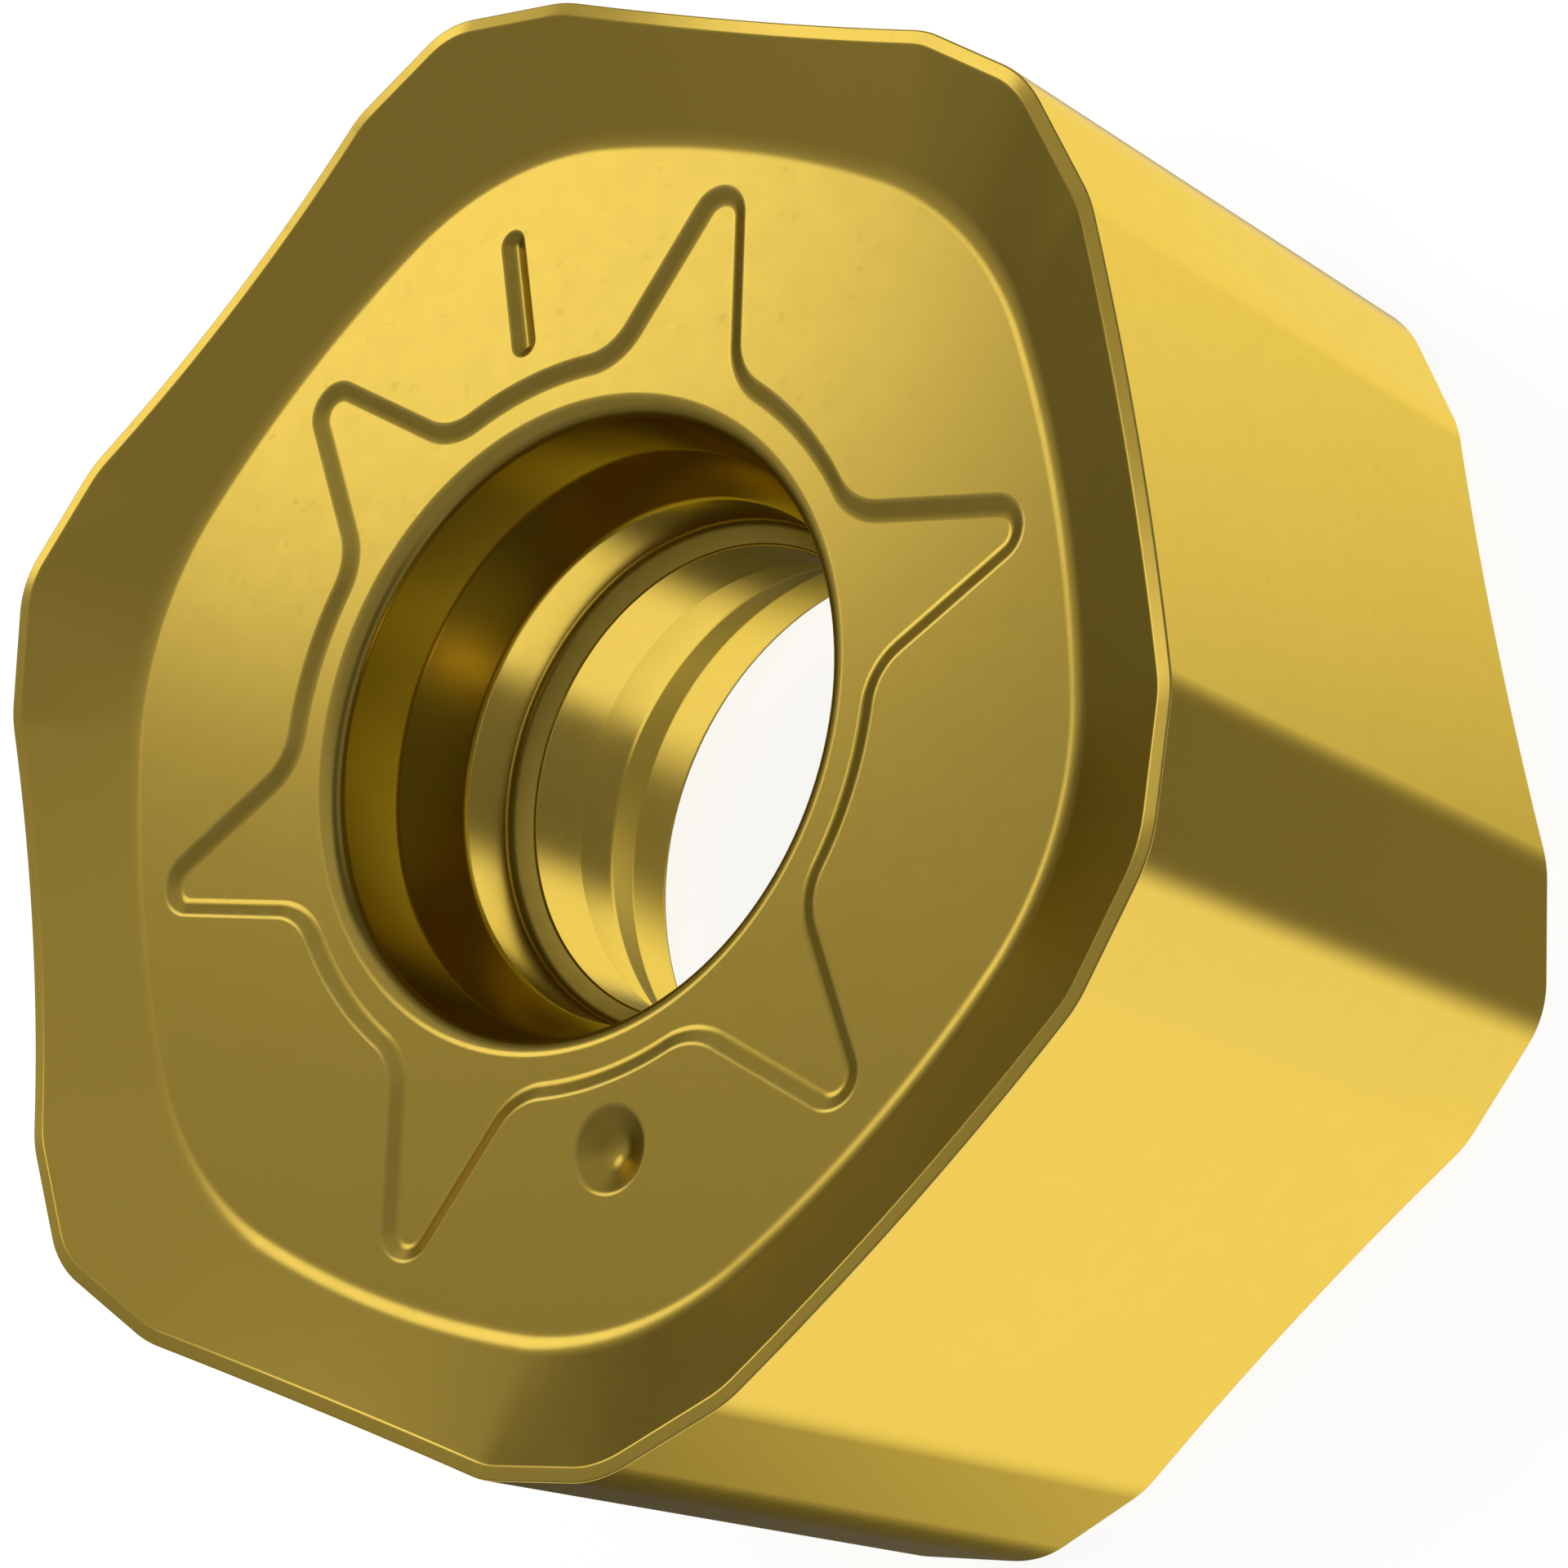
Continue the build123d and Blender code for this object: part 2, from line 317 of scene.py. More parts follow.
def cutting_edge(form, inset):
    """The cutting edge of the upper face moved inward: points, plan normals, from the seat up."""
    half_edge = form.edge_length / 2
    facet_distance = form.apothem * cos(form.facet_turn) + half_edge * sin(form.facet_turn)
    corner_turn = SECTOR - 2 * form.facet_turn
    facet_length = facet_distance * tan(corner_turn / 2) \
        + form.apothem * sin(form.facet_turn) - half_edge * cos(form.facet_turn)

    def plan(moved):
        """Shoulder and corner vertices and the two tangent lengths, moved inward."""
        distance = facet_distance - moved
        apothem = form.apothem - moved
        shoulder = np.array([apothem, (distance - apothem * cos(form.facet_turn)) / sin(form.facet_turn), 0])
        radius = distance / cos(corner_turn / 2)
        corner = np.array([radius * cos(SECTOR / 2), radius * sin(SECTOR / 2), 0])
        nose = form.nose_radius - moved
        return shoulder, corner, nose * tan(form.facet_turn / 2), nose * tan(corner_turn / 2)

    shoulder, corner, shoulder_tangent, corner_tangent = plan(0)
    crest_share = corner_tangent / (2 * facet_length)
    corner_rise = (form.tip_rise - crest_share * form.shoulder_rise) / (1 - crest_share)
    slope = (corner_rise - form.shoulder_rise) / facet_length
    end_share = 2 * shoulder_tangent / (shoulder[1] - shoulder_tangent)
    end_rise = (form.shoulder_rise + end_share * form.edge_middle_rise) / (1 + end_share)
    facet_low = form.shoulder_rise + shoulder_tangent * slope
    facet_high = corner_rise - corner_tangent * slope

    shoulder, corner, shoulder_tangent, corner_tangent = plan(inset)
    along = np.array([-sin(form.facet_turn), cos(form.facet_turn), 0])
    end = shoulder - [0, shoulder_tangent, -end_rise]
    low = shoulder + along * shoulder_tangent + [0, 0, facet_low]
    high = corner - along * corner_tangent + [0, 0, facet_high]
    middle = np.array([shoulder[0], 0, 2 * form.edge_middle_rise - end_rise])

    def mirrored(point):
        """A point mirrored in the middle line of the first corner."""
        c, s = cos(SECTOR), sin(SECTOR)
        return np.array([point[0] * c + point[1] * s, point[0] * s - point[1] * c, point[2]])

    side = [([end, shoulder + [0, 0, form.shoulder_rise], low], 7), ([low, (low + high) / 2, high], 8)]
    rows = [([end * [1, -1, 1], middle, end], 22), *side,
            ([high, corner + [0, 0, corner_rise], mirrored(high)], 10)]
    rows += [([mirrored(p) for p in reversed(row)], count) for row, count in reversed(side)]
    points, normals = [], []
    for (a, b, c), count in rows:
        points += bend(a, b, c, [step / count for step in range(count)])
        for step in range(count):
            t = step / count
            d = (1 - t) * (b - a) + t * (c - b)
            normals.append(np.array([d[1], -d[0], 0]) / hypot(d[0], d[1]))
    return turned(points), turned(normals)


def turned(sector_rows):
    """A sector's points or directions repeated round the axis."""
    rows = np.array(sector_rows)
    whole = []
    for k in range(EDGE_COUNT):
        c, s = cos(k * SECTOR), sin(k * SECTOR)
        whole.append(rows @ np.array([[c, s, 0], [-s, c, 0], [0, 0, 1]]))
    return np.concatenate(whole)


def rake_foot(form, bearings, inset):
    """The foot of the rake face at plan bearings, moved inward."""
    offset = form.foot_edge_radius - (form.apothem - form.rake_run)
    edge_radius, corner_radius = form.foot_edge_radius - inset, form.foot_corner_radius - inset
    reach = sqrt((form.foot_edge_radius - form.foot_corner_radius) ** 2 - (offset * sin(SECTOR / 2)) ** 2)
    corner = reach - offset * cos(SECTOR / 2)
    lean = atan2(corner * sin(SECTOR / 2), corner * cos(SECTOR / 2) + offset)
    join = atan2(edge_radius * sin(lean), edge_radius * cos(lean) - offset)
    bearing = (bearings + SECTOR / 2) % SECTOR - SECTOR / 2
    edge = sqrt_of(edge_radius ** 2 - (offset * np.sin(bearing)) ** 2) - offset * np.cos(bearing)
    from_corner = np.abs(bearing) - SECTOR / 2
    tip = corner * np.cos(from_corner) + sqrt_of(corner_radius ** 2 - (corner * np.sin(from_corner)) ** 2)
    radius = np.where(np.abs(bearing) < join, edge, tip)
    return np.column_stack([radius * np.cos(bearings), radius * np.sin(bearings), np.zeros(len(bearings))])


def sqrt_of(values):
    """Square roots, with rounding errors below nothing taken as nothing."""
    return np.sqrt(np.maximum(values, 0))


def grid_normals(rows, outward):
    """Normals of a closed strip by differences, on the side that outward points to."""
    around = np.roll(rows, -1, axis=1) - np.roll(rows, 1, axis=1)
    across = np.gradient(rows, axis=0)
    normals = np.cross(around, across)
    normals /= np.linalg.norm(normals, axis=2, keepdims=True)
    return normals * np.sign((normals * outward).sum(axis=2, keepdims=True))


def star_line(form):
    """Line of the star over one sector, as points and outward normals."""
    tip = form.star_reach - form.star_tip_radius
    half = form.star_half_angle
    side = np.array([sin(half), cos(half)])
    along = np.array([cos(half), -sin(half)])
    base = (tip + form.star_tip_radius / sin(half)) * sin(half)
    root_side = base + form.star_root_radius
    root = root_side * side + sqrt((form.ring_radius + form.star_root_radius) ** 2 - root_side ** 2) * along
    points, normals = [], []

    def arc(centre, radius, start, stop, count, sign):
        """Adds an arc; sign is minus where the arc's centre lies outside the star."""
        for step in range(count):
            a = start + (stop - start) * step / count
            out = np.array([cos(a), sin(a)])
            points.append(np.array(centre) + radius * out)
            normals.append(sign * out)

    lean = atan2(root[1], root[0])
    arc((0, 0), form.ring_radius, SECTOR / 2, lean, 7, 1)
    inward = atan2(-root[1], -root[0])
    to_side = atan2(-side[1], -side[0])
    to_side = inward + (to_side - inward + pi) % (2 * pi) - pi
    arc(root, form.star_root_radius, inward, to_side, 9, -1)
    low = root - form.star_root_radius * side
    high = np.array([tip, 0]) + form.star_tip_radius * side
    for step in range(4):
        points.append(low + (high - low) * step / 4)
        normals.append(side)
    arc((tip, 0), form.star_tip_radius, atan2(side[1], side[0]), 0, 9, 1)
    points.append(np.array([tip + form.star_tip_radius, 0]))
    normals.append(np.array([1.0, 0.0]))
    upper, upper_normals = np.array(points), np.array(normals)
    flip = np.array([1, -1])
    lower, lower_normals = upper[:-1][::-1] * flip, upper_normals[:-1][::-1] * flip
    sector_points = np.concatenate([upper, lower[:-1]])
    sector_normals = np.concatenate([upper_normals, lower_normals[:-1]])
    pad = np.zeros((len(sector_points), 1))
    order = slice(None, None, -1)
    return turned(np.hstack([sector_points, pad])[order]), turned(np.hstack([sector_normals, pad])[order])


def round_line(radius, centre, count):
    """A circle in plan as points and outward normals."""
    a = np.linspace(0, 2 * pi, count, endpoint=False)
    out = np.column_stack([np.cos(a), np.sin(a), np.zeros(count)])
    return radius * out + [centre[0], centre[1], 0], out


def bar_line(form, count=12):
    """The bar's middle line with its two round ends of no radius, as points and outward normals."""
    half = (form.bar_length - 2 * form.bar_half) / 2
    points, normals = [], []
    for end, start in ((half, 0.0), (-half, pi)):
        for step in range(count + 1):
            a = start + pi * step / count
            points.append([0, form.bar_distance + end, 0])
            normals.append([cos(a), sin(a), 0])
        for step in range(1, 6):
            points.append([0, form.bar_distance + end - 2 * end * step / 6, 0])
            normals.append([cos(start + pi), sin(start + pi), 0])
    return np.array(points, float), np.array(normals, float)


def press(shape, line, out, profile, height, shelter=1.0):
    """Adds a pressed profile carried along a line, and gives back its first and last rows."""
    rows, normals = [], []
    for distance, depth, slope, _ in profile:
        rows.append(line + out * distance + [0, 0, height + depth])
        normals.append(-out * sin(slope) + np.array([0, 0, cos(slope)]))
    lip = len(profile) // 2
    exposed = [0.5 * sin(pi * i / lip) if i < lip else 0.0 for i in range(len(profile))]
    # The profile's last values, scaled by shelter, are painted shade: a darker colour down in the mark.
    shape.grid(rows, normals, exposed, [row[3] * shelter for row in profile])
    return rows[0], rows[-1]


def upper_half(form, bore, seat, marks):
    """The upper face down to the middle of the flank and the bore, from the middle height up."""
    shape = Shape()
    height = form.seat_thickness / 2
    edge, out = cutting_edge(form, 0)
    land, _ = cutting_edge(form, form.land_width)
    edge = edge + [0, 0, height]
    land = land + [0, 0, height]
    up = np.array([0.0, 0.0, 1.0])
    inward = (land - edge) / form.land_width
    hone = form.hone_radius

    shape.grid([edge * [1, 1, 0], edge - up * hone], [out, out])
    centre = edge + inward * hone - up * hone
    rows = [centre - inward * hone * cos(pi / 8 * step) + up * hone * sin(pi / 8 * step) for step in range(5)]
    bent = grid_normals(np.array(rows), out[None] + up)
    bent[0] = out
    slopes = grid_normals(np.array([edge + inward * hone, land]), up)
    bent[-1] = slopes[0]
    shape.grid(rows, bent, [0.0, 0.7, 1.0, 0.7, 0.0])

    foot = rake_foot(form, np.arctan2(land[:, 1], land[:, 0]), 0) + [0, 0, height]
    inner = rake_foot(form, np.arctan2(land[:, 1], land[:, 0]), form.foot_blend) + [0, 0, height]
    rake_length = np.linalg.norm(foot - land, axis=1, keepdims=True)
    down = (foot - land) / rake_length
    land_end = land - inward * form.land_rounding
    rake_start = land + down * form.land_rounding
    shape.grid([edge + inward * hone, land_end], [slopes[0], slopes[1]])
    blend_start = foot + (land - foot) * form.blend_share
    rake = [rake_start + (blend_start - rake_start) * k / 5 for k in range(6)]
    rake_normals = grid_normals(np.array(rake), up)
    rows = bend(land_end, land, rake_start, np.linspace(0, 1, 5))
    bent = grid_normals(np.array(rows), up)
    bent[0], bent[-1] = slopes[1], rake_normals[0]
    shape.grid(rows, bent)
    shape.grid(rake, rake_normals)
    rows = bend(blend_start, foot, inner, np.linspace(0, 1, 11))
    bent = grid_normals(np.array(rows), up)
    bent[0], bent[-1] = rake_normals[-1], up
    shape.grid(rows, bent)

    line, star_out = star_line(seat)
    profile = stepped(seat.step_outside, seat.step_inside, seat.step_lip, seat.step_slope, seat.step_foot)
    outer, ring = press(shape, line, star_out, profile, height)
    recess = height + profile[-1][1]
    holes = [outer]
    if marks:
        middle, around = round_line(0, (0, -seat.dimple_distance), DIMPLE_COLUMNS)
        profile = pressed(seat.dimple_half, seat.dimple_lip, seat.dimple_slope, seat.dimple_bottom, 8)
        holes.append(press(shape, middle, around, profile, height, 0.7)[0])
        middle, around = bar_line(seat)
        profile = pressed(seat.bar_half, seat.bar_lip, seat.bar_slope, seat.bar_bottom)
        holes.append(press(shape, middle, around, profile, height)[0])
    shape.flat([inner, *holes], height, 1)

    vertices = [
        (bore.mouth_radius + 1, recess), (bore.mouth_radius, recess),
        (bore.head_radius, height - bore.head_depth), (bore.well_radius, height - bore.well_depth),
        (bore.well_radius, height - bore.shoulder_depth),
        (bore.throat_radius, height - bore.throat_depth), (bore.throat_radius, 0),
    ]
    throat_rounding = bore.throat_rounding if marks else bore.lower_rounding
    radii = [0, bore.mouth_rounding, bore.head_rounding, bore.cone_rounding, bore.well_rounding,
             throat_rounding, 0]
    wall, side = rounded(vertices, radii, 8)
    wall, side = wall[1:], -side[1:]
    _, ring_out = round_line(0, (0, 0), BORE_COLUMNS)
    rows = [ring_out * r + up * z for r, z in wall]
    exposed = [0.3 * sin(2 * atan2(n[1], -n[0])) if z > recess - bore.mouth_rounding else 0.0
               for (r, z), n in zip(wall, side)]
    foot = height - bore.shoulder_depth
    # Painted shade in the hollow corner at the foot of the well, darkest at the corner.
    painted_shade = [max(0.0, 1 - abs(z - foot) / bore.well_rounding) if r > bore.throat_radius else 0.0
                 for r, z in wall]
    shape.grid(rows, [ring_out * n[0] + up * n[1] for n in side], exposed, painted_shade)
    shape.flat([ring, rows[0]], recess, 1)
    return shape


class Millimetres:
    """The sizes of a property group with its lengths in millimetres."""

    def __init__(self, group):
        for name, kind in group.bl_rna.properties.items():
            if kind.type == "FLOAT" and not kind.is_array:
                setattr(self, name, getattr(group, name) / (MM if kind.unit == "LENGTH" else 1))


def whole_insert(form, bore, seat):
    """Both halves as one shape, standing on its lower corner tips."""
    whole = Shape()
    middle = form.seat_thickness / 2 + form.tip_rise
    for side, marks in ((1, True), (-1, False)):
        half = upper_half(form, bore, seat, marks)
        start = len(whole.points)
        flip = np.array([1, 1, side])
        whole.points += [p * flip + [0, 0, middle] for p in half.points]
        for mask in whole.masks:
            whole.masks[mask] += half.masks[mask]
        for face, normals in zip(half.faces, half.face_normals):
            corners, directions = [start + k for k in face], [n * flip for n in normals]
            whole.faces.append(corners)
            whole.face_normals.append(directions)
    points = np.array(whole.points)
    for i, face in enumerate(whole.faces):
        a, b, c = points[face[0]], points[face[1]], points[face[2]]
        facing = np.cross(b - a, c - a) @ sum(whole.face_normals[i])
        if len(face) == 4:
            facing += np.cross(c - a, points[face[3]] - a) @ sum(whole.face_normals[i])
        if facing < 0:
            whole.faces[i] = face[::-1]
            whole.face_normals[i] = whole.face_normals[i][::-1]
    return whole


class CoatingLook(bpy.types.PropertyGroup):
    """The gold-coloured nitride coating."""

    colour: colour("Colour", "Colour of the clean coating", 0.92, 0.648, 0.114)
    deep_colour: colour("Deep colour", "Colour where the coating is thicker", 0.88, 0.605, 0.096)
    # Painted shade: a darker colour drawn into pressed marks and hollow corners.
    painted_shade_colour: colour("Sheltered colour",
                             "Colour in pressed marks and hollow corners", 0.62, 0.43, 0.065)
    worn_colour: colour("Worn colour", "Colour along edges that rubbed", 0.97, 0.76, 0.25)
    grazing_colour: colour("Grazing colour", "Tint where the coating is seen flat on", 1.0, 0.90, 0.50)
    roughness: share("Roughness", "Gloss of the coated faces, 0 is a mirror", 0.2)
    grain_size: length("Grain size", "Size of the sintered grain that shows through the coating", 0.045)
    grain_height: length("Grain height", "Height of the sintered grain", 0.00004)


class StageLook(bpy.types.PropertyGroup):
    """The floor and the light."""

    floor_colour: colour("Floor colour", "Colour of the floor under the lamps", 0.32, 0.32, 0.315)
    floor_white: share("Floor white", "What the floor adds to look white, 1 is white", 0.86)
    panel_strength: share("Panel strength",
                          "Brightness of the low panels and the floor further out, in reflections", 0.98)
    floor_size: length("Floor size", "Width of the round floor", 2400)
    key_bearing: angle("Key bearing", "Plan direction of the key lamp, from +X", 133)
    key_height: angle("Key height", "Height of the key lamp above the horizon", 39.5)
    key_strength: brightness("Key strength", "Brightness of the key lamp's face", 0.86)
    room_strength: brightness("Room strength", "Brightness of the soft lamps overhead", 1.0)
    sky_low: brightness("Sky at the horizon", "Brightness of the room near the horizon", 0.11)
    sky_high: brightness("Sky overhead", "Brightness added higher up", 0.07)
    sky_back: brightness("Sky behind", "Brightness added high up towards +Y", 0.115)
    sky_glow: brightness("Glow at the horizon", "Brightness added low in front of the insert", 0.10)
    second_colour: colour("Second reflections",
                          "What is left of the room's light in reflections of reflections, as in "
                          "a dim hole", 0.36, 0.45, 0.56)
    third_colour: colour("Third reflections",
                         "What is left of the room's light after one more reflection", 0.20, 0.29, 0.38)


class InsertScene(bpy.types.PropertyGroup):
    """Everything that the sidebar shows."""

    form: PointerProperty(type=InsertForm)
    bore: PointerProperty(type=BoreForm)
    seat: PointerProperty(type=SeatForm)
    coating: PointerProperty(type=CoatingLook)
    stage: PointerProperty(type=StageLook)


def group(name, inputs, outputs):
    """A shader node group with the named inputs and outputs, and its own two end nodes."""
    tree = bpy.data.node_groups.new(name, "ShaderNodeTree")
    for label, kind, value in inputs:
        socket = tree.interface.new_socket(label, in_out="INPUT", socket_type=kind)
        if value is not None:
            socket.default_value = value
    for label, kind in outputs:
        tree.interface.new_socket(label, in_out="OUTPUT", socket_type=kind)
    return tree, tree.nodes.new("NodeGroupInput"), tree.nodes.new("NodeGroupOutput")


def node(tree, kind, settings=None, **links):
    """Adds a node, sets its options, and links or sets its inputs by name or number."""
    made = tree.nodes.new(kind)
    for key, value in (settings or {}).items():
        setattr(made, key, value)
    for key, value in links.items():
        socket = made.inputs[int(key[1:])] if key[0] == "_" else made.inputs[key.replace("_", " ")]
        if isinstance(value, bpy.types.NodeSocket):
            tree.links.new(value, socket)
        else:
            socket.default_value = value
    return made


def maths(tree, operation, first, second=0.0, clamp=False):
    """The result of a Math node."""
    settings = {"operation": operation, "use_clamp": clamp}
    return node(tree, "ShaderNodeMath", settings, _0=first, _1=second).outputs[0]


def mixed(tree, factor, first, second):
    """The result of mixing two colours."""
    made = node(tree, "ShaderNodeMix", {"data_type": "RGBA"}, _0=factor, _6=first, _7=second)
    return made.outputs[2]


def smooth_step(tree, value, low, high, bottom=0.0, top=1.0):
    """A value that rises smoothly between two limits."""
    return node(tree, "ShaderNodeMapRange", {"interpolation_type": "SMOOTHSTEP"}, Value=value, From_Min=low,
                From_Max=high, To_Min=bottom, To_Max=top).outputs[0]


def noise(tree, place, scale, detail):
    """The height of a noise texture."""
    return node(tree, "ShaderNodeTexNoise", Vector=place, Scale=scale, Detail=detail).outputs[0]


def stretched(tree, value, low, high):
    """A value's share of the way between two limits."""
    return node(tree, "ShaderNodeMapRange", Value=value, From_Min=low, From_Max=high).outputs[0]


def grain_group():
    """Fine sintered grain with shallow pits: a height, and the share of pits."""
    inputs = [("Vector", "NodeSocketVector", None), ("Size", "NodeSocketFloat", 5e-5)]
    outputs = [("Height", "NodeSocketFloat"), ("Pits", "NodeSocketFloat")]
    tree, given, out = group("Sintered grain", inputs, outputs)
    place = given.outputs["Vector"]
    scale = maths(tree, "DIVIDE", 1.0, given.outputs["Size"])
    fine = noise(tree, place, scale, 1.0)
    sparse = noise(tree, place, maths(tree, "MULTIPLY", scale, 0.32), 0.0)
    pits = smooth_step(tree, sparse, 0.72, 0.84)
    height = maths(tree, "SUBTRACT", fine, maths(tree, "MULTIPLY", pits, 0.15))
    tree.links.new(height, out.inputs["Height"])
    tree.links.new(pits, out.inputs["Pits"])
    return tree


def film_group():
    """Slow drift of the coating's thickness over a face, and a finer mottle, each from nothing to one."""
    inputs = [("Vector", "NodeSocketVector", None), ("Scale", "NodeSocketFloat", 300.0)]
    outputs = [("Drift", "NodeSocketFloat"), ("Mottle", "NodeSocketFloat")]
    tree, given, out = group("Coating drift", inputs, outputs)
    place, scale = given.outputs["Vector"], given.outputs["Scale"]
    drift = stretched(tree, noise(tree, place, scale, 2.0), 0.3, 0.7)
    mottle = stretched(tree, noise(tree, place, maths(tree, "MULTIPLY", scale, 9.0), 2.0), 0.3, 0.7)
    tree.links.new(drift, out.inputs["Drift"])
    tree.links.new(mottle, out.inputs["Mottle"])
    return tree


def wear_group():
    """Wear along exposed edges, broken up by noise."""
    inputs = [("Vector", "NodeSocketVector", None), ("Edge", "NodeSocketFloat", 0.0),
              ("Scale", "NodeSocketFloat", 3000.0)]
    tree, given, out = group("Edge wear", inputs, [("Wear", "NodeSocketFloat")])
    spread = stretched(tree, noise(tree, given.outputs["Vector"], given.outputs["Scale"], 3.0), 0.35, 0.65)
    wear = maths(tree, "MULTIPLY", given.outputs["Edge"], spread, clamp=True)
    tree.links.new(wear, out.inputs["Wear"])
    return tree


def coating_material(look):
    """Gold-coloured nitride coating on sintered carbide."""
    material = bpy.data.materials.new("gold_nitride_coating")
    material.use_nodes = True
    tree = material.node_tree
    tree.nodes.clear()
    place = node(tree, "ShaderNodeTexCoord").outputs["Object"]
    grain = node(tree, "ShaderNodeGroup", {"node_tree": grain_group()}, Vector=place, Size=look.grain_size)
    film = node(tree, "ShaderNodeGroup", {"node_tree": film_group()}, Vector=place, Scale=300.0)
    edge = node(tree, "ShaderNodeAttribute", {"attribute_name": "exposed_edge"}).outputs["Fac"]
    wear = node(tree, "ShaderNodeGroup", {"node_tree": wear_group()}, Vector=place, Edge=edge, Scale=3000.0)
    drift, mottle = film.outputs["Drift"], film.outputs["Mottle"]
    depth = maths(tree, "ADD", maths(tree, "MULTIPLY", drift, 0.2), maths(tree, "MULTIPLY", mottle, 0.08))
    depth = maths(tree, "ADD", depth, maths(tree, "MULTIPLY", grain.outputs["Pits"], 0.10), clamp=True)
    coated = mixed(tree, depth, tuple(look.colour), tuple(look.deep_colour))
    # Painted shade: pressed marks and the well's hollow corner get a darker, rougher coating.
    painted_shade = node(tree, "ShaderNodeAttribute", {"attribute_name": "painted_shade"}).outputs["Fac"]
    uneven = maths(tree, "ADD", maths(tree, "MULTIPLY", mottle, 0.2), 0.8)
    hollow = maths(tree, "MULTIPLY", painted_shade, uneven, clamp=True)
    coated = mixed(tree, hollow, coated, tuple(look.painted_shade_colour))
    worn = maths(tree, "MULTIPLY", wear.outputs[0], 0.7)
    coated = mixed(tree, worn, coated, tuple(look.worn_colour))
    rough = maths(tree, "ADD", look.roughness - 0.01, maths(tree, "MULTIPLY", mottle, 0.02))
    rough = maths(tree, "ADD", rough, maths(tree, "MULTIPLY", grain.outputs["Pits"], 0.03))
    rough = maths(tree, "ADD", rough, maths(tree, "MULTIPLY", hollow, 0.12))
    rough = maths(tree, "ADD", rough, maths(tree, "MULTIPLY", wear.outputs[0], 0.08), clamp=True)
    bump = node(tree, "ShaderNodeBump", Strength=1.0, Distance=look.grain_height,
                Height=grain.outputs["Height"])
    shader = node(tree, "ShaderNodeBsdfPrincipled", Base_Color=coated, Metallic=1.0, Roughness=rough,
                  Specular_Tint=tuple(look.grazing_colour), Normal=bump.outputs[0])
    end = tree.nodes.new("ShaderNodeOutputMaterial")
    tree.links.new(shader.outputs[0], end.inputs[0])
    return material


def floor_material(look):
    """Pale matt studio floor that looks white to the camera."""
    material = bpy.data.materials.new("studio_floor")
    material.use_nodes = True
    tree = material.node_tree
    tree.nodes.clear()
    place = node(tree, "ShaderNodeTexCoord").outputs["Object"]
    darker = tuple(c * 0.95 for c in look.floor_colour[:3]) + (1,)
    paint = mixed(tree, noise(tree, place, 40.0, 3.0), tuple(look.floor_colour), darker)
    matt = node(tree, "ShaderNodeBsdfDiffuse", Color=paint)
    path = node(tree, "ShaderNodeLightPath").outputs
    seen = maths(tree, "MAXIMUM", path["Is Camera Ray"], path["Is Transmission Ray"])
    white = node(tree, "ShaderNodeEmission", Strength=maths(tree, "MULTIPLY", seen, look.floor_white))
    both = node(tree, "ShaderNodeAddShader", _0=matt.outputs[0], _1=white.outputs[0])
    end = tree.nodes.new("ShaderNodeOutputMaterial")
    tree.links.new(both.outputs[0], end.inputs[0])
    return material


def dot(tree, across, along, facing):
    """How far a place in the plane lies in a given direction."""
    return maths(tree, "ADD", maths(tree, "MULTIPLY", across, facing[0]),
                 maths(tree, "MULTIPLY", along, facing[1]))


def soft_border(tree, across, along, facing, start, stop):
    """One edge of a low panel: full where the place along facing is below start, nothing above stop."""
    return smooth_step(tree, dot(tree, across, along, facing), start, stop, 1.0, 0.0)


def panel(tree, across, along, edges):
    """A soft-edged panel in the plane below, cut out by its edges."""
    cover = soft_border(tree, across, along, *edges[0])
    for edge in edges[1:]:
        cover = maths(tree, "MULTIPLY", cover, soft_border(tree, across, along, *edge))
    return cover


# The two low panels, each given by its edges: which way the edge faces in the plane one unit below the
# insert, and where its soft border starts and stops.
FRONT_PANEL = (((0.803, 0.596), -0.02, 0.30), ((-0.986, 0.167), 0.04, 0.56), ((0, 1), -0.25, -0.05))
BACK_PANEL = (((0.403, -0.915), -0.40, 0.03), ((-0.817, -0.577), -0.42, 0.03))
GLOW_FACING = (0.906, -0.423)       # where the room glows at the horizon
SHADED_FACING = (0.67, 0.74)        # where the floor further out is darkest


